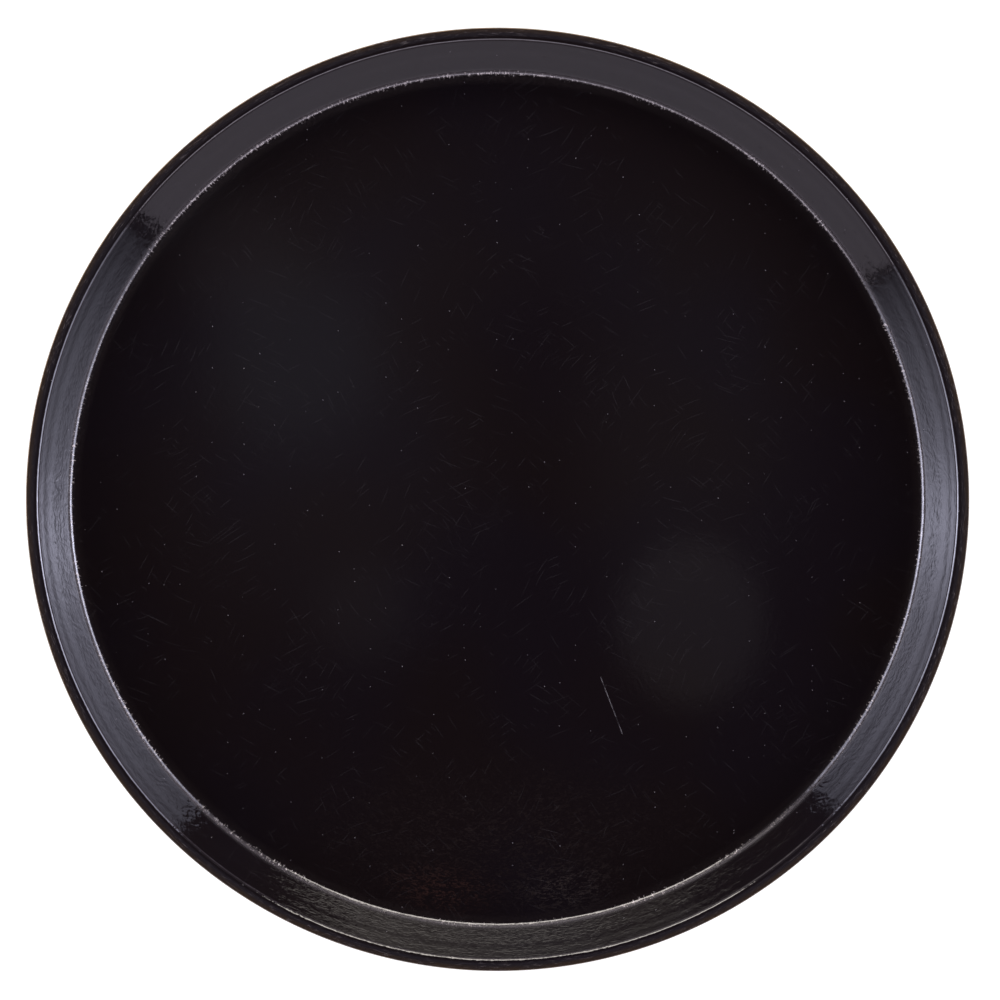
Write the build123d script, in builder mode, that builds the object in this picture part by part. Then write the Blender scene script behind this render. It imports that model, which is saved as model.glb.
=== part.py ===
from build123d import *
import math
import os

# Round serving tray: press-moulded glass-fibre reinforced polyester, 14 inch size.
# The frame is in millimetres, +Z up. The origin is the centre of the underside,
# on the surface that the tray stands on, and every ply is turned about Z.

# Outside shape
outside_diameter = 355.6
overall_height = 22.0
wall_angle = 60.0  # from the horizontal
floor_corner_radius = 3.2  # where the floor turns up into the wall, on the serving face
rim_roll_radius = 2.2  # where the wall turns out into the rim, on the serving face
rim_land = 3.1  # flat top of the rim, from the end of its roll to the trimmed edge
edge_break = 0.25  # radius left on the trimmed edge by deburring

# Lay-up, from the serving face down
surface_veil_thickness = 0.3
upper_mat_thickness = 0.8
lower_mat_thickness = 0.8
back_veil_thickness = 0.3

# Reinforcing wire, laid between the two mats inside the rim
wire_diameter = 2.4
wire_inset = 2.7  # from the trimmed edge in to the middle of the wire
wire_end_gap = 1.0  # between the two butted ends of the bent ring

# Corners of the inner faces
bead_corner_radius = 1.5  # under the rim, where the wall meets the bead
parting_corner_radius = 0.6  # where the parting face between the mats leaves the wall

outer_radius = outside_diameter / 2
laminate = (
    surface_veil_thickness
    + upper_mat_thickness
    + lower_mat_thickness
    + back_veil_thickness
)
slope = math.radians(wall_angle)
wire_radius = wire_diameter / 2

# The wire sits under the rim's land, with the full upper mat over it and the
# full lower mat under it, so the rim is a bead thicker than the wall.
wire_path_radius = outer_radius - wire_inset
cover = surface_veil_thickness + upper_mat_thickness
wire_level = overall_height - cover - wire_radius
bead_underside = wire_level - wire_radius - lower_mat_thickness - back_veil_thickness

# Sharp corner of the serving face between floor and wall, before it is rounded
rim_corner = outer_radius - rim_land - rim_roll_radius * math.tan(slope / 2)
floor_corner = rim_corner - (overall_height - laminate) / math.tan(slope)


def wall_at(depth, level):
    """Radius of the wall at a height, measured `depth` into the laminate."""
    return floor_corner + depth / math.sin(slope) + (level - laminate) / math.tan(slope)


def ply_face(depth, rim_level, rim_radius):
    """The line `depth` below the serving face, from the axis out past the trimmed edge."""
    floor_level = laminate - depth
    return FilletPolyline(
        (0, floor_level),
        (wall_at(depth, floor_level), floor_level),
        (wall_at(depth, rim_level), rim_level),
        (outer_radius + laminate, rim_level),
        radius=[floor_corner_radius + depth, rim_radius],
    )


def ply_outline(upper_face, lower_face):
    """The closed outline of the ply between two faces."""
    upper = ply_face(*upper_face)
    lower = ply_face(*lower_face)
    Line(upper @ 0, lower @ 0)
    Line(upper @ 1, lower @ 1)


# The faces of the plies, each as its depth, its level at the rim, and its radius there
serving_face = (0, overall_height, rim_roll_radius)
under_surface_veil = (
    surface_veil_thickness,
    overall_height - surface_veil_thickness,
    rim_roll_radius - surface_veil_thickness,
)
between_mats = (cover, wire_level, parting_corner_radius)
under_lower_mat = (
    laminate - back_veil_thickness,
    bead_underside + back_veil_thickness,
    bead_corner_radius + back_veil_thickness,
)
underside = (laminate, bead_underside, bead_corner_radius)

# What the trimming cutter leaves: a straight edge, with both its corners broken.
with BuildSketch(Plane.XZ) as trim:
    with Locations((0, overall_height / 2)):
        Rectangle(outside_diameter - 2 * edge_break, overall_height)
    with Locations((0, (overall_height + bead_underside) / 2)):
        RectangleRounded(outside_diameter, overall_height - bead_underside, edge_break)

# Reinforcing ring: round steel wire bent into a circle, with its ends butted.
with BuildPart() as rim_wire:
    with BuildSketch(Plane.XZ):
        with Locations((wire_path_radius, wire_level)):
            Circle(wire_radius)
    revolve(axis=Axis.Z, revolution_arc=360 - math.degrees(wire_end_gap / wire_path_radius))
rim_wire.part.label = "rim_wire"

# Resin-rich black gloss face that food and glasses stand on.
with BuildPart() as surface_veil:
    with BuildSketch(Plane.XZ):
        with BuildLine():
            ply_outline(serving_face, under_surface_veil)
        make_face()
        add(trim.sketch_local, mode=Mode.INTERSECT)
    revolve(axis=Axis.Z)
surface_veil.part.label = "surface_veil"

# Upper glass mat, pressed down over the top half of the wire.
with BuildPart() as upper_glass_mat:
    with BuildSketch(Plane.XZ):
        with BuildLine():
            ply_outline(under_surface_veil, between_mats)
        make_face()
        add(trim.sketch_local, mode=Mode.INTERSECT)
    revolve(axis=Axis.Z)
    add(rim_wire.part, mode=Mode.SUBTRACT)
upper_glass_mat.part.label = "upper_glass_mat"

# Lower glass mat, pressed up round the bottom half of the wire.
with BuildPart() as lower_glass_mat:
    with BuildSketch(Plane.XZ):
        with BuildLine():
            ply_outline(between_mats, under_lower_mat)
        make_face()
        add(trim.sketch_local, mode=Mode.INTERSECT)
    revolve(axis=Axis.Z)
    add(rim_wire.part, mode=Mode.SUBTRACT)
lower_glass_mat.part.label = "lower_glass_mat"

# Matt black skin on the underside.
with BuildPart() as back_veil:
    with BuildSketch(Plane.XZ):
        with BuildLine():
            ply_outline(under_lower_mat, underside)
        make_face()
        add(trim.sketch_local, mode=Mode.INTERSECT)
    revolve(axis=Axis.Z)
back_veil.part.label = "back_veil"

os.makedirs("parts", exist_ok=True)
export_step(surface_veil.part, "parts/surface_veil.step")
export_step(upper_glass_mat.part, "parts/upper_glass_mat.step")
export_step(rim_wire.part, "parts/rim_wire.step")
export_step(lower_glass_mat.part, "parts/lower_glass_mat.step")
export_step(back_veil.part, "parts/back_veil.step")
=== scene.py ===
import math

import bpy
import numpy as np
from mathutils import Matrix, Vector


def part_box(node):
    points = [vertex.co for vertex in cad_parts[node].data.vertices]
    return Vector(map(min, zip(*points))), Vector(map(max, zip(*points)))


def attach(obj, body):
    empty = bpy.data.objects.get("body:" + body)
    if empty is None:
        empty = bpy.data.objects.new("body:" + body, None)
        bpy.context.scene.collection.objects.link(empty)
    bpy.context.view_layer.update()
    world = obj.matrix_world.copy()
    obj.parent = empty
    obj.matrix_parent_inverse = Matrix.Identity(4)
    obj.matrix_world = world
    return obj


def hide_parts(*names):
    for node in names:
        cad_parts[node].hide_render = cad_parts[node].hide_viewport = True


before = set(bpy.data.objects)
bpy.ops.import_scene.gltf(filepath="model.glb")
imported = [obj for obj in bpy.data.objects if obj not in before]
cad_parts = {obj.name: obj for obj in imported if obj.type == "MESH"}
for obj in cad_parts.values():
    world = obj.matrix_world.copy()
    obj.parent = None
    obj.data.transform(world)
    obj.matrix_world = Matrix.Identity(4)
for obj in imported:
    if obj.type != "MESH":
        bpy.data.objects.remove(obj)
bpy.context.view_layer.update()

# A round, black, gloss serving tray of press-moulded glass-fibre polyester, seen from straight
# above on white. Everything is in metres, in the frame's axes: +Z up, tray centred on Z.

MM = 0.001

# --------------------------------------------------------------------------- sizes

# The frame's own sizes
wire_low, wire_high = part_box("rim_wire")
mat_points = np.array([v.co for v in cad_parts["upper_glass_mat"].data.vertices])
OUTER_RADIUS = float(np.hypot(mat_points[:, 0], mat_points[:, 1]).max())
RIM_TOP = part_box("surface_veil")[1].z
WIRE_LEVEL = (wire_low.z + wire_high.z) / 2
WIRE_RADIUS = (wire_high.z - wire_low.z) / 2

# The tray's section
LAMINATE_Z = 2.2 * MM  # level of the flat floor: the laminate's thickness
WALL_ANGLE = math.radians(60)
FLOOR_CORNER_RADIUS = 3.2 * MM
RIM_ROLL_RADIUS = 2.2 * MM
RIM_LAND = 3.1 * MM
WIRE_INSET = 2.7 * MM  # from the trimmed edge in to the middle of the wire
EDGE_BREAK = 0.25 * MM
VEIL = 0.3 * MM
MAT = 0.8 * MM
BEAD_CORNER_RADIUS = 1.5 * MM
PARTING_CORNER_RADIUS = 0.6 * MM
LAND_START = OUTER_RADIUS - RIM_LAND
WIRE_PATH_RADIUS = OUTER_RADIUS - WIRE_INSET
WIRE_END_GAP = 1.0 * MM
BEAD_UNDERSIDE = WIRE_LEVEL - WIRE_RADIUS - MAT - VEIL

# Relief that the press leaves in the serving face: (distance below the rim's roll along the
# wall, half width, how much steeper the wall stands there in degrees)
WALL_BANDS = (
    (7.3 * MM, 2.0 * MM, -0.7),
    (3.9 * MM, 1.3 * MM, 1.1),
    (1.9 * MM, 0.9 * MM, -0.8),
    (0.25 * MM, 0.6 * MM, 1.2),
)
RIM_CROWN = 0.08 * MM  # how far the rim's land falls towards its trimmed edge
WAVE_HEIGHT = 0.06 * MM
FLOOR_WAVE_HEIGHT = 0.03 * MM

RIM_CORNER = OUTER_RADIUS - RIM_LAND - RIM_ROLL_RADIUS * math.tan(WALL_ANGLE / 2)
FLOOR_CORNER = RIM_CORNER - (RIM_TOP - LAMINATE_Z) / math.tan(WALL_ANGLE)
FLOOR_RADIUS = FLOOR_CORNER - FLOOR_CORNER_RADIUS * math.tan(WALL_ANGLE / 2)

SEGMENTS = 720
SEED = 14


# --------------------------------------------------------------------------- sections


def wall_at(depth, level):
    """Radius of the wall at a height, `depth` into the laminate from the serving face."""
    rise = (level - LAMINATE_Z) / math.tan(WALL_ANGLE)
    return FLOOR_CORNER + depth / math.sin(WALL_ANGLE) + rise


def spread(start, end, count):
    """Points in even steps from start to end, without the end."""
    share = np.linspace(0, 1, count, endpoint=False)[:, None]
    return np.array(start) + share * (np.array(end) - np.array(start))


def rounded(corners, radii, line_steps, arc_steps):
    """The line through the corners with each inner corner rounded, as evenly stepped points."""
    corners = [np.array(c, float) for c in corners]
    points, here = [], corners[0]
    for before, corner, after, radius, steps in zip(
        corners, corners[1:], corners[2:], radii, line_steps
    ):
        arriving = (corner - before) / np.linalg.norm(corner - before)
        leaving = (after - corner) / np.linalg.norm(after - corner)
        turn = math.atan2(
            arriving[0] * leaving[1] - arriving[1] * leaving[0], arriving @ leaving
        )
        reach = radius * math.tan(abs(turn) / 2)
        start = corner - arriving * reach
        side = np.array([-arriving[1], arriving[0]]) * math.copysign(1, turn)
        centre = start + side * radius
        points.append(spread(here, start, steps))
        angles = np.linspace(0, turn, arc_steps, endpoint=False)
        spoke = start - centre
        points.append(
            centre
            + np.column_stack(
                [
                    spoke[0] * np.cos(angles) - spoke[1] * np.sin(angles),
                    spoke[0] * np.sin(angles) + spoke[1] * np.cos(angles),
                ]
            )
        )
        here = corner + leaving * reach
    points.append(spread(here, corners[-1], line_steps[-1]))
    points.append(corners[-1][None])
    return np.vstack(points)


def ply_face(depth, rim_level, rim_radius, line_steps=(6, 4, 2), arc_steps=6):
    """The face `depth` below the serving face, from the axis out to the trimmed edge."""
    floor_level = LAMINATE_Z - depth
    return rounded(
        [
            (0, floor_level),
            (wall_at(depth, floor_level), floor_level),
            (wall_at(depth, rim_level), rim_level),
            (OUTER_RADIUS, rim_level),
        ],
        [FLOOR_CORNER_RADIUS + depth, rim_radius],
        line_steps,
        arc_steps,
    )


def serving_face():
    """The tray's top, with the moulded bands and the crowned land, in to its broken edge."""
    face = ply_face(0, RIM_TOP, RIM_ROLL_RADIUS, line_steps=(30, 48, 7), arc_steps=14)[:-1]
    up_wall = np.array([math.cos(WALL_ANGLE), math.sin(WALL_ANGLE)])
    roll_start = np.array([RIM_CORNER, RIM_TOP]) - up_wall * RIM_ROLL_RADIUS * math.tan(
        WALL_ANGLE / 2
    )
    below = (roll_start - face) @ up_wall
    length = below[face[:, 0] > FLOOR_RADIUS + FLOOR_CORNER_RADIUS].max()
    steps = np.linspace(0, length, 400)
    lean = sum(a * np.exp(-(((steps - c) / w) ** 2)) for c, w, a in WALL_BANDS)
    push = -np.cumsum(np.radians(lean)) * (steps[1] - steps[0])
    push -= push[-1] * steps / length
    on_wall = (below > 0) & (below < length)
    inward = np.array([-math.sin(WALL_ANGLE), math.cos(WALL_ANGLE)])
    face[on_wall] += np.interp(below[on_wall], steps, push)[:, None] * inward
    past_roll = np.clip((face[:, 0] - LAND_START) / RIM_LAND, 0, 1)
    face[:, 1] -= RIM_CROWN * past_roll**2
    return face


def edge_arc(centre_level, start, end, steps=5):
    """The rounding that deburring leaves on a corner of the trimmed edge."""
    angles = np.radians(np.linspace(start, end, steps))
    centre = np.array([OUTER_RADIUS - EDGE_BREAK, centre_level])
    return centre + EDGE_BREAK * np.column_stack([np.cos(angles), np.sin(angles)])


# --------------------------------------------------------------------------- meshes


def waviness(radius, azimuth, count, longest, shortest, rng):
    """A smooth random height in -1..1 over the tray, as a sum of long plane waves."""
    x, y = radius * np.cos(azimuth), radius * np.sin(azimuth)
    height = np.zeros_like(x)
    for _ in range(count):
        heading = rng.uniform(0, math.tau)
        length = longest * (shortest / longest) ** rng.uniform(0, 1)
        phase = rng.uniform(0, math.tau)
        height += np.sin(
            math.tau / length * (x * math.cos(heading) + y * math.sin(heading)) + phase
        )
    return height / count


def turned(name, section, segments=SEGMENTS, shape=None, arc=math.tau):
    """A closed solid turned about Z from a closed section of (radius, level) points."""
    whole = arc == math.tau
    azimuth = np.arange(segments) * arc / (segments if whole else segments - 1)
    section = np.asarray(section)
    on_axis = section[:, 0] < 1e-9
    points, rows = [], []
    for k, (radius, level) in enumerate(section):
        first = sum(len(p) for p in points)
        if on_axis[k]:
            points.append(np.array([[0, 0, level]]))
            rows.append([first] * segments)
            continue
        ring = np.column_stack(
            [radius * np.cos(azimuth), radius * np.sin(azimuth), np.full(segments, level)]
        )
        if shape is not None:
            ring += shape(k, radius, level, azimuth)
        points.append(ring)
        rows.append(list(range(first, first + segments)))
    count = len(section)
    steps = segments if whole else segments - 1
    faces = []
    for k in range(count):
        lower, upper = rows[k], rows[(k + 1) % count]
        if on_axis[k] and on_axis[(k + 1) % count]:
            continue
        for j in range(steps):
            n = (j + 1) % segments
            face = [lower[j], lower[n], upper[n], upper[j]]
            faces.append(list(dict.fromkeys(face)))
    if not whole:
        faces.append([rows[k][0] for k in range(count)])
        faces.append([rows[k][-1] for k in reversed(range(count))])
    mesh = bpy.data.meshes.new(name)
    mesh.from_pydata(np.vstack(points).tolist(), [], faces)
    mesh.validate()
    mesh.update()
    mesh.shade_smooth()
    mesh.set_sharp_from_angle(angle=math.radians(38))
    piece = bpy.data.objects.new(name, mesh)
    bpy.context.scene.collection.objects.link(piece)
    return piece


def make_serving_skin():
    """The gloss face, 0.3 mm thick, with the slight waves that pressing leaves in it."""
    top = serving_face()
    corner = edge_arc(top[-1, 1] - EDGE_BREAK, 86, 14)
    hidden = ply_face(VEIL, RIM_TOP - VEIL, RIM_ROLL_RADIUS - VEIL, (3, 5, 2), 5)
    hidden[:, 1] = np.minimum(hidden[:, 1], RIM_TOP - VEIL)
    section = np.vstack([top, corner, hidden[::-1][1:]])
    rng = np.random.default_rng(SEED)
    azimuth = np.arange(SEGMENTS) * math.tau / SEGMENTS
    radius = top[:, 0][:, None]
    wall_wave = waviness(radius, azimuth[None], 30, 60 * MM, 7 * MM, rng) * WAVE_HEIGHT
    floor_wave = waviness(radius, azimuth[None], 9, 240 * MM, 70 * MM, rng) * FLOOR_WAVE_HEIGHT
    on_wall = np.clip((radius - FLOOR_RADIUS) / FLOOR_CORNER_RADIUS, 0, 1)
    fade_rim = np.clip((OUTER_RADIUS - radius) / RIM_LAND, 0, 1)
    height = (floor_wave * (1 - on_wall) + wall_wave * on_wall) * fade_rim

    def shape(row, r, level, at):
        if row >= len(top):
            return 0
        lean = WALL_ANGLE * float(on_wall[row, 0])
        push = height[row][:, None]
        inward = np.column_stack([-np.cos(at), -np.sin(at), np.zeros_like(at)])
        return push * (inward * math.sin(lean) + np.array([0, 0, math.cos(lean)]))

    return turned("serving_skin", section, shape=shape)


def make_upper_mat():
    top = ply_face(VEIL, RIM_TOP - VEIL, RIM_ROLL_RADIUS - VEIL)
    bottom = ply_face(VEIL + MAT, WIRE_LEVEL, PARTING_CORNER_RADIUS)
    return turned("upper_glass_mat_layup", np.vstack([top, bottom[::-1]]))


def make_lower_mat():
    top = ply_face(VEIL + MAT, WIRE_LEVEL, PARTING_CORNER_RADIUS)
    depth = LAMINATE_Z - VEIL
    bottom = ply_face(depth, BEAD_UNDERSIDE + VEIL, BEAD_CORNER_RADIUS + VEIL)
    return turned("lower_glass_mat_layup", np.vstack([top, bottom[::-1]]))


def make_underside():
    hidden = ply_face(
        LAMINATE_Z - VEIL, BEAD_UNDERSIDE + VEIL, BEAD_CORNER_RADIUS + VEIL, (6, 6, 2), 8
    )
    corner = edge_arc(BEAD_UNDERSIDE + EDGE_BREAK, -14, -90)
    under = ply_face(LAMINATE_Z, BEAD_UNDERSIDE, BEAD_CORNER_RADIUS, (24, 18, 5), 10)[:-1]
    return turned("underside_skin", np.vstack([hidden[:-1], corner, under[::-1]]))


def make_rim_ring():
    angles = np.arange(20) * math.tau / 20
    section = np.column_stack(
        [
            WIRE_PATH_RADIUS + WIRE_RADIUS * np.cos(angles),
            WIRE_LEVEL + WIRE_RADIUS * np.sin(angles),
        ]
    )
    arc = math.tau - WIRE_END_GAP / WIRE_PATH_RADIUS
    return turned("rim_ring", section[::-1], arc=arc)


# --------------------------------------------------------------------------- node graphs


class Graph:
    """Adds nodes to a shader tree. A value may be a number, a tuple or another node's socket."""

    def __init__(self, tree):
        self.tree = tree
        tree.nodes.clear()

    def node(self, kind, inputs=(), **settings):
        node = self.tree.nodes.new("ShaderNode" + kind)
        for name, value in settings.items():
            setattr(node, name, value)
        for key, value in dict(inputs).items():
            self.give(node.inputs[key], value)
        return node

    def give(self, socket, value):
        if isinstance(value, bpy.types.NodeSocket):
            self.tree.links.new(value, socket)
        else:
            socket.default_value = value

    def math(self, operation, *values):
        return self.node("Math", enumerate(values), operation=operation).outputs[0]

    def add(self, *values):
        total = values[0]
        for value in values[1:]:
            total = self.math("ADD", total, value)
        return total

    def times(self, *values):
        total = values[0]
        for value in values[1:]:
            total = self.math("MULTIPLY", total, value)
        return total

    def vector(self, operation, *values, output=0):
        node = self.node("VectorMath", operation=operation)
        for socket, value in zip(node.inputs, values):
            self.give(socket, value)
        return node.outputs[output]

    def scaled(self, vector, factor):
        node = self.node("VectorMath", operation="SCALE")
        self.give(node.inputs[0], vector)
        self.give(node.inputs["Scale"], factor)
        return node.outputs[0]

    def ramp(self, value, start, end, low=0.0, high=1.0, smooth=True):
        """low up to start, high from end, and a smooth or straight climb between."""
        node = self.node(
            "MapRange",
            enumerate([value, start, end, low, high]),
            interpolation_type="SMOOTHSTEP" if smooth else "LINEAR",
        )
        return node.outputs[0]

    def split(self, vector):
        return self.node("SeparateXYZ", {0: vector}).outputs

    def join(self, x, y, z):
        return self.node("CombineXYZ", {0: x, 1: y, 2: z}).outputs[0]

    def noise(self, vector, size, detail=2.0, rough=0.5, warp=0.0):
        """Noise in 0..1 whose features are about `size` metres across."""
        inputs = {
            "Vector": vector,
            "Scale": 1 / size,
            "Detail": detail,
            "Roughness": rough,
            "Distortion": warp,
        }
        return self.node("TexNoise", inputs).outputs[0]

    def cells(self, vector, size, flat=True):
        """(distance to the nearest of some scattered points, that point's random colour)."""
        dimensions = "2D" if flat else "3D"
        inputs = {"Vector": vector, "Scale": 1 / size}
        node = self.node("TexVoronoi", inputs, voronoi_dimensions=dimensions)
        return node.outputs["Distance"], node.outputs["Color"]

    def blend(self, factor, first, second):
        """first where factor is 0 and second where it is 1, for colours."""
        node = self.node("Mix", data_type="RGBA")
        self.give(node.inputs["Factor"], factor)
        self.give(node.inputs["A"], first)
        self.give(node.inputs["B"], second)
        return node.outputs["Result"]

    def mix(self, factor, first, second):
        """The same for plain values."""
        node = self.node("Mix", data_type="FLOAT")
        self.give(node.inputs["Factor"], factor)
        self.give(node.inputs["A"], first)
        self.give(node.inputs["B"], second)
        return node.outputs["Result"]

    def bump(self, height, distance, normal=None):
        inputs = {"Height": height, "Distance": distance, "Strength": 1.0}
        if normal is not None:
            inputs["Normal"] = normal
        return self.node("Bump", inputs).outputs[0]


# --------------------------------------------------------------------------- materials


class Place(Graph):
    """A material's graph, with the tray's own coordinates."""

    def __init__(self, name):
        self.material = bpy.data.materials.new(name)
        self.material.use_nodes = True
        super().__init__(self.material.node_tree)
        self.point = self.node("TexCoord").outputs["Object"]
        x, y, z = self.split(self.point)
        self.flat = self.join(x, y, 0.0)
        self.radius = self.vector("LENGTH", self.flat, output="Value")
        self.level = z
        self.outward = self.vector("NORMALIZE", self.flat)

    def along_rim(self, round_size, radial_size, level_size=None):
        """Coordinates stretched along the rim, so noise of size 1 has these sizes there."""
        circle = self.scaled(self.outward, OUTER_RADIUS / round_size)
        x, y, _ = self.split(circle)
        radial = self.math("DIVIDE", self.radius, radial_size)
        rise = self.math("DIVIDE", self.level, level_size or radial_size)
        return self.join(x, y, self.add(radial, rise))

    def band(self, start, end, soft):
        """1 between two radii, with soft edges."""
        rising = self.ramp(self.radius, start - soft, start + soft)
        falling = self.ramp(self.radius, end - soft, end + soft, 1.0, 0.0)
        return self.times(rising, falling)

    def spot(self, x, y, reach_x, reach_y, turn=0.0):
        """1 at a place on the tray, fading to 0 at an ellipse round it."""
        node = self.node(
            "Mapping",
            {0: self.flat, 1: (x, y, 0), 2: (0, 0, turn), 3: (reach_x, reach_y, 1)},
            vector_type="TEXTURE",
        )
        distance = self.vector("LENGTH", node.outputs[0], output="Value")
        return self.ramp(distance, 0.0, 1.0, 1.0, 0.0)

    def finish(self, colour, roughness, normal, **fixed):
        shader = self.node("BsdfPrincipled", {"Base Color": colour, "Roughness": roughness})
        for name, value in fixed.items():
            self.give(shader.inputs[name.replace("_", " ")], value)
        self.give(shader.inputs["Normal"], normal)
        output = self.node("OutputMaterial")
        self.tree.links.new(shader.outputs[0], output.inputs["Surface"])
        return self.material


# Linear colours
RESIN_BROWN = (0.0029, 0.0018, 0.0019, 1)
RESIN_PLUM = (0.0027, 0.0018, 0.0024, 1)
FIBRE_AMBER = (0.0158, 0.0067, 0.0051, 1)
FIBRE_GREY = (0.0145, 0.0112, 0.0102, 1)
FIBRE_BROWN = (0.0054, 0.0037, 0.0035, 1)
CORNER_FRINGE = (0.014, 0.0108, 0.0098, 1)
# Pale colour of the painted highlight along the floor's rounded corner
PAINTED_CORNER_HIGHLIGHT = (0.24, 0.225, 0.22, 1)
WORN_RESIN = (0.33, 0.30, 0.275, 1)
SCRATCH_GREY = (0.085, 0.080, 0.082, 1)
LAND_BLACK = (0.0060, 0.0049, 0.0057, 1)
LAND_BROWN = (0.0125, 0.0080, 0.0050, 1)
LAND_SPECK = (0.038, 0.033, 0.031, 1)
EDGE_AMBER = (0.14, 0.085, 0.030, 1)
CUT_BLACK = (0.010, 0.0075, 0.006, 1)
CUT_AMBER = (0.060, 0.040, 0.020, 1)
CUT_GLASS = (0.22, 0.17, 0.10, 1)
BACK_BLACK = (0.0085, 0.0078, 0.0080, 1)
BACK_FIBRE = (0.021, 0.0185, 0.0165, 1)
BACK_MOTTLE = (0.016, 0.0125, 0.0105, 1)
BACK_SCUFF = (0.075, 0.070, 0.066, 1)
STEEL = (0.40, 0.40, 0.41, 1)
STEEL_STAIN = (0.22, 0.17, 0.12, 1)

# The side of the tray on which each of these shows most, as directions across it
MOST_WORN = (-0.45, 0.89, 0)
MOST_AMBER = (-0.35, 0.94, 0)
MOST_WRINKLED = (-0.21, -0.98, 0)

# Where the one long scratch on the floor runs
LONG_SCRATCH = ((39.3 * MM, -67.6 * MM, 0), (47.6 * MM, -89.2 * MM, 0))


def hair_scratches(g, rng, layers, width, length, kept):
    """Scattered faint hair scratches: 0 to 1, by how deep they are."""
    drift = g.node("TexNoise", {"Vector": g.flat, "Scale": 1 / (45 * MM), "Detail": 1.0})
    bend = g.scaled(g.vector("SUBTRACT", drift.outputs["Color"], (0.5, 0.5, 0.5)), 14 * MM)
    bent = g.vector("ADD", g.flat, bend)
    total = 0.0
    for _ in range(layers):
        turn = rng.uniform(0, math.pi)
        shift = tuple(rng.uniform(-1, 1, 3))
        stretch = (length * rng.uniform(0.5, 1.6), width, 1)
        placed = g.node(
            "Mapping",
            {0: bent, 1: shift, 2: (0, 0, turn), 3: stretch},
            vector_type="TEXTURE",
        )
        distance, colour = g.cells(placed.outputs[0], 12.0)
        depth = g.ramp(g.split(colour)[0], 1 - kept, 1.0, 0.0, 1.0, smooth=False)
        line = g.ramp(distance, 0.03, 0.065, 1.0, 0.0)
        total = g.math("MAXIMUM", total, g.times(line, g.times(depth, depth)))
    return total


def long_scratch(g):
    """How deep the long scratch is: up to 0.6 along it, and 0 elsewhere."""
    start, end = (np.array(p) for p in LONG_SCRATCH)
    run = end - start
    from_start = g.vector("SUBTRACT", g.flat, tuple(start))
    along = g.vector("DOT_PRODUCT", from_start, tuple(run), output="Value")
    share = g.math("DIVIDE", along, float(run @ run))
    nearest = g.scaled(tuple(run), g.ramp(share, 0.0, 1.0, smooth=False))
    away = g.vector("DISTANCE", from_start, nearest, output="Value")
    gaps = g.noise(g.point, 2.5 * MM, 1.0)
    line = g.ramp(away, 0.05 * MM, 0.22 * MM, 1.0, 0.0)
    return g.times(line, g.ramp(gaps, 0.3, 0.6, 0.1, 0.6))


def resin_colour(g):
    """Black with a slow drift between plum and brown, and glass fibres just showing through."""
    drift = g.noise(g.point, 80 * MM, 1.0)
    colour = g.blend(g.ramp(drift, 0.35, 0.65), RESIN_BROWN, RESIN_PLUM)
    fibre = g.noise(g.along_rim(3.2 * MM, 1.0 * MM), 1.0, 2.0, 0.6, 1.6)
    strand = g.ramp(fibre, 0.50, 0.62)
    amber = g.times(g.spot(-21 * MM, -147 * MM, 28 * MM, 13 * MM, -0.1), strand)
    colour = g.blend(amber, colour, FIBRE_AMBER)
    grey = g.times(g.spot(26 * MM, -147 * MM, 26 * MM, 13 * MM, 0.15), strand)
    colour = g.blend(grey, colour, FIBRE_GREY)
    faint = g.times(g.spot(0.0, -128 * MM, 110 * MM, 42 * MM), g.ramp(fibre, 0.52, 0.64))
    return g.blend(faint, colour, FIBRE_BROWN)


def corner_wear_and_painted_highlight(g, colour, worn_corner, grain, patches):
    """The colour with the floor's corner worn pale and chipped, a slightly paler fringe just inside
    it, and a painted highlight along its rounding; and how worn it is.
    """
    chipped = g.band(FLOOR_RADIUS + 0.7 * MM, FLOOR_RADIUS + 2.3 * MM, 0.6 * MM)
    fringed = g.band(FLOOR_RADIUS - 1.6 * MM, FLOOR_RADIUS + 1.2 * MM, 1.3 * MM)
    # Painted highlight: a faint pale band round the corner's rounding, where its highlight line
    # runs
    painted_highlight_band = g.band(FLOOR_RADIUS + 1.4 * MM, FLOOR_RADIUS + 2.9 * MM, 0.7 * MM)
    ticks = g.noise(g.along_rim(0.75 * MM, 1.8 * MM), 1.0, 1.5, 0.6)
    worn_side = g.vector("DOT_PRODUCT", g.outward, MOST_WORN, output="Value")
    wear = g.times(
        g.ramp(patches, 0.3, 0.7, 0.25, 1.0), g.ramp(worn_side, -0.6, 0.7, 0.3, 1.15, smooth=False)
    )
    rubbed = g.times(worn_corner, g.ramp(ticks, 0.49, 0.61, 0.03, 1.0), wear)
    chips = g.times(chipped, g.ramp(ticks, 0.57, 0.66), g.ramp(patches, 0.38, 0.62))
    rubbed = g.math("MAXIMUM", rubbed, g.times(chips, g.ramp(grain, 0.35, 0.6)))
    fringe = g.times(
        fringed, g.ramp(grain, 0.3, 0.7, 0.3, 1.0), g.ramp(worn_side, 0.4, 0.9, 0.2, 0.5)
    )
    colour = g.blend(fringe, colour, CORNER_FRINGE)
    # The painted highlight, blended in at 0.075
    colour = g.blend(g.times(painted_highlight_band, 0.075), colour, PAINTED_CORNER_HIGHLIGHT)
    return g.blend(rubbed, colour, WORN_RESIN), rubbed


def fine_marks(g, colour, rng):
    """The colour with hair scratches, the long scratch and pinholes, and how deep they are."""
    hairs = hair_scratches(g, rng, 8, 0.12 * MM, 4.6 * MM, 0.45)
    speck_distance, speck_colour = g.cells(g.flat, 6.0 * MM)
    pinhole = g.times(
        g.ramp(speck_distance, 0.016, 0.040, 1.0, 0.0),
        g.ramp(g.split(speck_colour)[0], 0.86, 1.0, smooth=False),
    )
    deep = g.math("MAXIMUM", long_scratch(g), pinhole)
    marks = g.math("MAXIMUM", g.times(hairs, 0.10), deep)
    return g.blend(marks, colour, SCRATCH_GREY), marks


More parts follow.
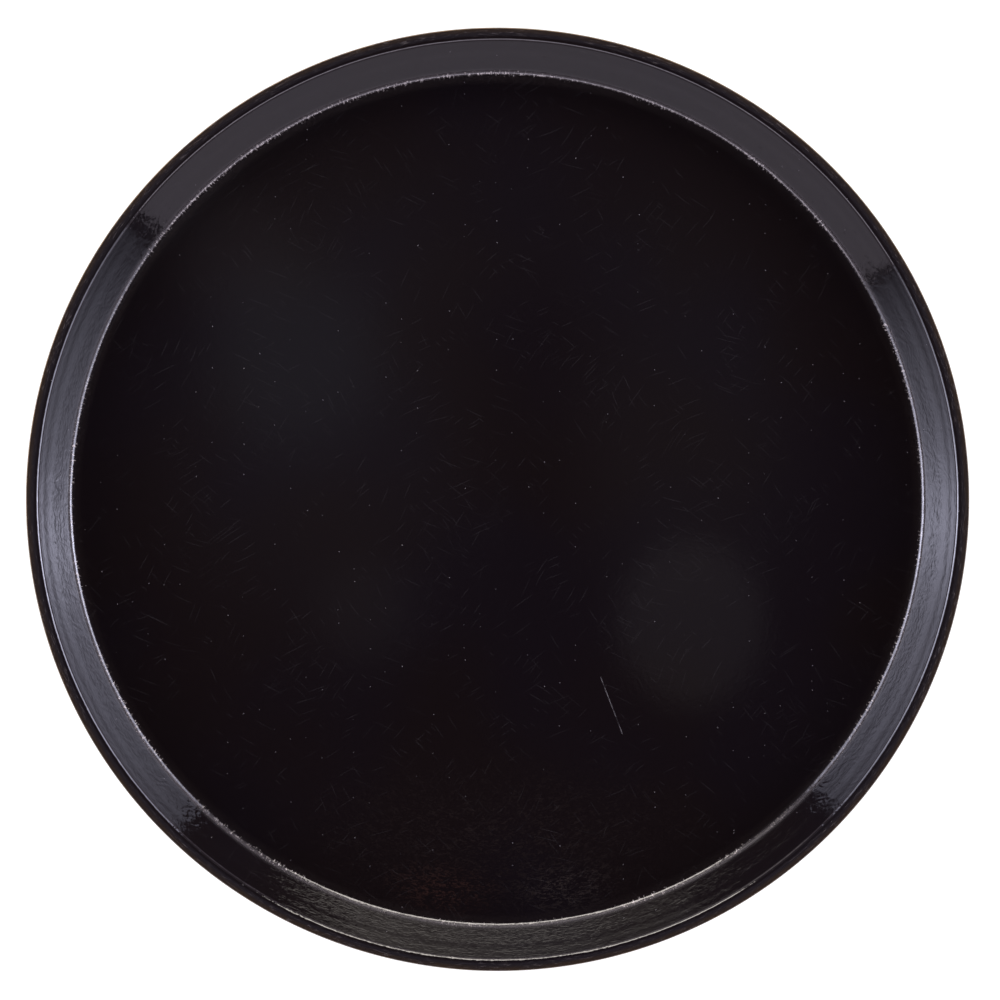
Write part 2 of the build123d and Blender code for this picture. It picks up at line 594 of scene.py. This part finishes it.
def rim_colour(g, colour, land, cut, patches):
    """The colour with the veil thinning to brown on the rim, and amber at the trimmed edge."""
    brown = g.noise(g.along_rim(14 * MM, 1.2 * MM), 1.0, 3.0, 0.6)
    colour = g.blend(land, colour, LAND_BLACK)
    outer = g.ramp(g.radius, OUTER_RADIUS - 2.4 * MM, OUTER_RADIUS - 0.9 * MM)
    colour = g.blend(g.times(outer, g.ramp(brown, 0.3, 0.7, 0.4, 1.0)), colour, LAND_BROWN)
    rim_grain = g.noise(g.along_rim(3.4 * MM, 0.4 * MM), 1.0, 2.0, 0.6)
    specks = g.times(land, g.ramp(rim_grain, 0.52, 0.76), g.ramp(patches, 0.3, 0.75, 0.2, 1.0))
    colour = g.blend(specks, colour, LAND_SPECK)
    toward_amber = g.vector("DOT_PRODUCT", g.outward, MOST_AMBER, output="Value")
    amber_side = g.ramp(g.ramp(toward_amber, -0.9, 0.9), 0.0, 1.0, 0.35, 1.0)
    edge_grain = g.noise(g.along_rim(5 * MM, 0.5 * MM), 1.0, 2.0, 0.6)
    amber = g.times(cut, g.ramp(edge_grain, 0.3, 0.6, 0.4, 1.0), amber_side)
    return g.blend(amber, colour, EDGE_AMBER)


def pressed_relief(g, grain, land):
    """The height of the relief, in metres: the press leaves the wall rougher than the floor."""
    wrinkle = g.noise(g.along_rim(3.8 * MM, 2.1 * MM), 1.0, 1.0, 0.5, 1.2)
    swirl = g.noise(g.point, 7 * MM, 1.0, 0.5, 2.0)
    on_wall = g.ramp(g.radius, FLOOR_RADIUS + 0.5 * MM, FLOOR_RADIUS + 3 * MM)
    under_band = g.ramp(g.radius, RIM_CORNER - 6 * MM, RIM_CORNER - 4 * MM, 1.0, 0.4)
    rough_side = g.vector("DOT_PRODUCT", g.outward, MOST_WRINKLED, output="Value")
    pressed = g.times(on_wall, under_band, g.ramp(rough_side, -0.6, 0.9, 0.6, 1.45, smooth=False))
    creases = g.times(wrinkle, g.ramp(rough_side, 0.84, 0.97, 1.0, 2.6))
    return g.add(
        g.times(creases, g.mix(pressed, 0.004 * MM, 0.060 * MM)),
        g.times(swirl, g.mix(pressed, 0.010 * MM, 0.10 * MM)),
        g.times(grain, g.mix(pressed, 0.0015 * MM, 0.006 * MM)),
        g.times(grain, g.mix(land, 0.0, 0.010 * MM)),
    )


def gloss_black():
    """Black gloss resin: fibre print-through, hair scratches, pinholes, worn corners and a painted
    highlight along the floor's corner.
    """
    g = Place("black_gloss_resin")
    worn_corner = g.band(FLOOR_RADIUS + 1.2 * MM, FLOOR_RADIUS + 1.75 * MM, 0.35 * MM)
    land = g.ramp(g.radius, LAND_START - 0.5 * MM, LAND_START + 0.6 * MM)
    cut = g.ramp(g.radius, OUTER_RADIUS - 0.45 * MM, OUTER_RADIUS - 0.1 * MM)
    grain = g.noise(g.point, 0.9 * MM, 2.0, 0.65)
    patches = g.noise(g.point, 26 * MM, 1.0)
    colour = resin_colour(g)
    colour, rubbed = corner_wear_and_painted_highlight(g, colour, worn_corner, grain, patches)
    colour, marks = fine_marks(g, colour, np.random.default_rng(SEED + 1))
    colour = rim_colour(g, colour, land, cut, patches)
    sheen = g.noise(g.point, 35 * MM, 2.0, 0.6)
    roughness = g.ramp(sheen, 0.3, 0.7, 0.050, 0.075, smooth=False)
    for share, value in (
        (worn_corner, 0.10), (land, 0.22), (cut, 0.5), (g.math("MAXIMUM", marks, rubbed), 0.55)
    ):
        roughness = g.mix(share, roughness, value)
    normal = g.bump(pressed_relief(g, grain, land), 1.0)
    return g.finish(colour, roughness, normal, IOR=1.5)


def cut_laminate():
    """The trimmed edge: black-pigmented polyester with amber resin and glass ends showing."""
    g = Place("cut_glass_laminate")
    streaks = g.noise(g.along_rim(6 * MM, 0.35 * MM), 1.0, 4.0, 0.65, 0.6)
    bundles = g.noise(g.along_rim(2.2 * MM, 0.8 * MM), 1.0, 2.0, 0.5)
    colour = g.blend(g.ramp(streaks, 0.38, 0.66), CUT_BLACK, CUT_AMBER)
    ends = g.times(g.ramp(bundles, 0.58, 0.75), g.ramp(streaks, 0.4, 0.6))
    colour = g.blend(ends, colour, CUT_GLASS)
    roughness = g.ramp(streaks, 0.3, 0.7, 0.42, 0.62, smooth=False)
    height = g.add(g.times(streaks, 0.06 * MM), g.times(bundles, 0.05 * MM))
    return g.finish(colour, roughness, g.bump(height, 1.0), IOR=1.52)


def matt_back():
    """The underside: satin black resin with the chopped glass mat printing through."""
    g = Place("black_satin_back")
    rng = np.random.default_rng(SEED + 2)
    strands = 0.0
    for _ in range(5):
        shift = tuple(rng.uniform(-1, 1, 3))
        turn = rng.uniform(0, math.pi)
        placed = g.node(
            "Mapping",
            {0: g.flat, 1: shift, 2: (0, 0, turn), 3: (16 * MM, 0.9 * MM, 1)},
            vector_type="TEXTURE",
        )
        strands = g.math("MAXIMUM", strands, g.noise(placed.outputs[0], 1.0, 1.0))
    mottle = g.noise(g.point, 22 * MM, 3.0, 0.6)
    grain = g.noise(g.point, 0.8 * MM, 2.0, 0.6)
    colour = g.blend(g.ramp(strands, 0.55, 0.82), BACK_BLACK, BACK_FIBRE)
    colour = g.blend(g.ramp(mottle, 0.5, 0.75, 0.0, 0.5), colour, BACK_MOTTLE)
    scuffs = hair_scratches(g, rng, 5, 0.14 * MM, 9.0 * MM, 0.14)
    resting = g.ramp(g.radius, FLOOR_RADIUS - 30 * MM, FLOOR_RADIUS + 2 * MM)
    rubbed = g.times(resting, g.ramp(grain, 0.52, 0.7), g.ramp(mottle, 0.35, 0.65))
    wear = g.math("MAXIMUM", g.times(scuffs, 0.5), g.times(rubbed, 0.35))
    colour = g.blend(wear, colour, BACK_SCUFF)
    roughness = g.ramp(strands, 0.5, 0.85, 0.56, 0.68, smooth=False)
    height = g.add(g.times(strands, 0.05 * MM), g.times(grain, 0.05 * MM))
    return g.finish(colour, roughness, g.bump(height, 1.0), IOR=1.42)


def drawn_steel():
    """The ring in the rim: drawn steel wire, with die lines along it."""
    g = Place("drawn_steel_wire")
    lines = g.noise(g.along_rim(40 * MM, 0.12 * MM), 1.0, 2.0, 0.6)
    stain = g.noise(g.point, 5 * MM, 3.0, 0.6)
    colour = g.blend(g.ramp(stain, 0.45, 0.75), STEEL, STEEL_STAIN)
    roughness = g.ramp(lines, 0.3, 0.7, 0.28, 0.48, smooth=False)
    return g.finish(colour, roughness, g.bump(g.times(lines, 0.01 * MM), 1.0), Metallic=1.0)


def studio_white():
    """The table: white, and glowing like a light table, with a painted contact shadow: its glow is
    dimmed where the tray stands.
    """
    g = Place("studio_white")
    tooth = g.noise(g.point, 3 * MM, 2.0)
    colour = g.blend(tooth, (0.11, 0.11, 0.11, 1), (0.13, 0.13, 0.13, 1))
    # Painted shadow: the glow rises from 0.15 under the tray's floor to 0.95 just past the rim's
    # edge
    glow_with_painted_shadow = g.ramp(g.radius, FLOOR_RADIUS - 2 * MM, OUTER_RADIUS + 0.5 * MM, 0.15, 0.95)
    roughness = g.ramp(tooth, 0.3, 0.7, 0.85, 0.95)
    normal = g.bump(g.times(tooth, 0.02 * MM), 1.0)
    return g.finish(
        colour, roughness, normal, Emission_Color=(1, 1, 1, 1), Emission_Strength=glow_with_painted_shadow
    )


# --------------------------------------------------------------------------- studio


def softbox(g, azimuth, elevation, centre, below, above, colour, level, fades=None,
            reach=(20.0, 40.0), soft=3.0, top_soft=2.0, edge=0.7, slant=0.0, flare=0.0,
            core=0.0, core_at=24.0):
    """One big soft lamp beside the tray, as light from a patch of the sky, in degrees.

    It runs `below` and `above` its centre in azimuth. fades gives the turns at which its light
    would reach 0 on either side, slant tips its lower edge, flare widens its upper part, and
    core adds a brighter middle."""
    turn = g.math("WRAP", g.math("SUBTRACT", azimuth, centre), 180.0, -180.0)
    light = level
    if fades:
        light = g.times(
            g.ramp(turn, -fades[0], 0.0, smooth=False),
            g.ramp(turn, 0.0, fades[1], 1.0, 0.0, smooth=False),
            level,
        )
    height = g.math("SUBTRACT", elevation, g.times(turn, slant)) if slant else elevation
    light = g.times(light, g.ramp(height, reach[0] - soft, reach[0] + soft))
    if core:
        across = g.math("DIVIDE", turn, 8.0)
        up = g.math("DIVIDE", g.math("SUBTRACT", elevation, core_at), 4.0)
        away = g.add(g.times(across, across), g.times(up, up))
        light = g.add(light, g.times(g.math("EXPONENT", g.times(away, -1.0)), core))
    wider = g.ramp(elevation, 26.5, 28.5, 0.0, flare) if flare else 0.0
    inside = g.times(
        g.ramp(g.add(turn, wider), -below - edge, -below + edge),
        g.ramp(g.math("SUBTRACT", turn, wider), above - edge, above + edge, 1.0, 0.0),
        g.ramp(elevation, reach[1] - top_soft, reach[1] + top_soft, 1.0, 0.0),
    )
    return g.scaled(colour, g.times(light, inside))


# The glows on the scrim: x, y and the reaches along x and y in mm, how soft the edge is from 0
# to 1, level, colour
GLOWS = [
    (95, -57, 46, 52, 0.45, 0.128, (1.0, 0.93, 0.97)),
    (-80, 62, 70, 75, 1.0, 0.11, (0.86, 1.0, 1.12)),
    (-50, -52, 42, 42, 1.0, 0.06, (0.95, 0.95, 1.1)),
    (-70, 40, 130, 175, 1.0, 0.075, (1.0, 0.93, 1.1)),
    (92, 35, 90, 160, 1.0, 0.065, (1.0, 0.95, 1.1)),
    (0, 125, 170, 80, 1.0, 0.035, (1.0, 0.92, 1.08)),
    (-108, 108, 50, 50, 1.0, 0.07, (1.0, 0.93, 1.08)),
]


def light_studio():
    """A sky with soft lamps low on the tray's four sides, and dark overhead for a black floor."""
    world = bpy.data.worlds.new("studio")
    bpy.context.scene.world = world
    world.use_nodes = True
    g = Graph(world.node_tree)
    direction = g.node("TexCoord").outputs["Generated"]
    x, y, z = g.split(direction)
    azimuth = g.math("DEGREES", g.math("ARCTAN2", y, x))
    elevation = g.math("DEGREES", g.math("ARCSINE", z))
    cool, warm, near = (1.0, 1.0, 1.27), (1.0, 0.93, 0.86), (1.0, 0.91, 1.08)
    lamps = [
        softbox(g, azimuth, elevation, 177.0, 40.0, 34.0, cool, 16.0, fades=(57.0, 38.0),
                reach=(18.0, 29.5), soft=5.0, top_soft=9.0, core=12.0, core_at=25.0),
        softbox(g, azimuth, elevation, 177.0, 40.0, 34.0, cool, 9.0, fades=(57.0, 38.0),
                reach=(33.0, 42.0), soft=2.0),
        softbox(g, azimuth, elevation, 5.0, 41.0, 39.6, cool, 15.3, fades=(46.0, 59.0),
                reach=(20.0, 32.0), soft=5.0, top_soft=9.0, core=14.0, core_at=24.9),
        softbox(g, azimuth, elevation, 5.0, 41.0, 39.6, cool, 9.0, fades=(46.0, 59.0),
                reach=(33.0, 42.0), soft=2.0),
        softbox(g, azimuth, elevation, -93.0, 55.0, 55.0, near, 4.2, reach=(20.0, 33.0)),
        softbox(g, azimuth, elevation, -93.0, 55.0, 55.0, near, 0.8, reach=(28.0, 36.0),
                soft=2.0),
        softbox(g, azimuth, elevation, 91.0, 21.5, 24.0, warm, 4.7, reach=(25.5, 42.0),
                soft=7.0, edge=1.5, slant=0.09, flare=6.0),
        softbox(g, azimuth, elevation, 91.0, 25.0, 24.0, warm, 9.5, reach=(32.0, 48.0),
                soft=2.5, edge=1.5, flare=6.0),
    ]
    for centre, below, above, colour in (
        (177.0, 40.0, 34.0, cool), (5.0, 41.0, 40.0, cool), (97.0, 34.0, 34.0, warm)
    ):
        lamps.append(softbox(g, azimuth, elevation, centre, below, above, colour, 1.3,
                             reach=(7.0, 20.0)))
    room = g.ramp(elevation, 60.0, 45.0, 0.018, 0.26)
    skirting = g.ramp(elevation, 13.0, 11.0, 0.0, 0.8)
    total = g.scaled((1.0, 0.84, 1.0), g.add(room, skirting))
    for lamp in lamps:
        total = g.vector("ADD", total, lamp)
    background = g.node("Background", {"Color": total})
    output = g.node("OutputWorld")
    g.tree.links.new(background.outputs[0], output.inputs["Surface"])


def make_overhead():
    """A dim scrim over the tray: faint glows in the gloss floor, and nothing to the camera."""
    height, half = 0.45, 0.24
    mesh = bpy.data.meshes.new("overhead_scrim")
    corners = [(-half, -half), (half, -half), (half, half), (-half, half)]
    mesh.from_pydata([(x, y, height) for x, y in corners], [], [(0, 1, 2, 3)])
    scrim = bpy.data.objects.new("overhead_scrim", mesh)
    g = Place("overhead_glow")
    glow = (0.0, 0.0, 0.0)
    for x, y, reach_x, reach_y, soft, level, colour in GLOWS:
        shape = g.ramp(g.spot(x * MM, y * MM, reach_x * MM, reach_y * MM), 0.0, soft)
        glow = g.vector("ADD", glow, g.scaled(colour, g.times(shape, level)))
    light = g.node("Emission", {"Color": glow})
    clear = g.node("BsdfTransparent")
    both = g.node("AddShader")
    g.tree.links.new(light.outputs[0], both.inputs[0])
    g.tree.links.new(clear.outputs[0], both.inputs[1])
    output = g.node("OutputMaterial")
    g.tree.links.new(both.outputs[0], output.inputs["Surface"])
    mesh.materials.append(g.material)
    for flag in ("visible_camera", "visible_diffuse", "visible_transmission", "visible_shadow"):
        setattr(scrim, flag, False)
    bpy.context.scene.collection.objects.link(scrim)


def make_stage():
    """The white table, and a white wall far round it that only the camera sees."""
    mesh = bpy.data.meshes.new("table")
    half = 30.0
    mesh.from_pydata(
        [(-half, -half, 0), (half, -half, 0), (half, half, 0), (-half, half, 0)], [], [(0, 1, 2, 3)]
    )
    table = bpy.data.objects.new("table", mesh)
    mesh.materials.append(studio_white())
    backdrop_mesh = bpy.data.meshes.new("backdrop")
    around = np.arange(48) * math.tau / 48
    ring = np.column_stack([half * 0.95 * np.cos(around), half * 0.95 * np.sin(around)])
    low = [(a, b, 0.0) for a, b in ring]
    high = [(a, b, half / 2) for a, b in ring]
    backdrop_mesh.from_pydata(
        low + high, [], [(i, (i + 1) % 48, 48 + (i + 1) % 48, 48 + i) for i in range(48)]
    )
    backdrop = bpy.data.objects.new("backdrop", backdrop_mesh)
    backdrop_mesh.materials.append(studio_white())
    for flag in ("visible_diffuse", "visible_glossy", "visible_transmission", "visible_shadow"):
        setattr(backdrop, flag, False)
    for o in (table, backdrop):
        bpy.context.scene.collection.objects.link(o)


def make_camera():
    """Over the tray, a little left of its axis. Its field at rim level just holds the tray."""
    field = 376.8 * MM
    lens, sensor = 250.0, 36.0
    height = field * lens / sensor
    aim_x, aim_y = 0.67 * MM, -0.20 * MM
    x, y = -50 * MM, 12 * MM
    data = bpy.data.cameras.new("camera")
    data.lens = lens
    data.sensor_width = sensor
    data.clip_end = 100.0
    camera = bpy.data.objects.new("camera", data)
    camera.location = (x, y, RIM_TOP + height)
    camera.rotation_euler = (math.atan2(aim_y - y, height), math.atan2(x - aim_x, height), 0)
    bpy.context.scene.collection.objects.link(camera)
    bpy.context.scene.camera = camera


# --------------------------------------------------------------------------- the tray


def dress(piece, material, node):
    piece.data.materials.append(material)
    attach(piece, "root")
    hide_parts(node)


laminate = cut_laminate()
dress(make_serving_skin(), gloss_black(), "surface_veil")
dress(make_upper_mat(), laminate, "upper_glass_mat")
dress(make_rim_ring(), drawn_steel(), "rim_wire")
dress(make_lower_mat(), laminate, "lower_glass_mat")
dress(make_underside(), matt_back(), "back_veil")

light_studio()
make_overhead()
make_stage()
make_camera()
bpy.context.scene.view_settings.view_transform = "Standard"
bpy.context.scene.view_settings.look = "None"
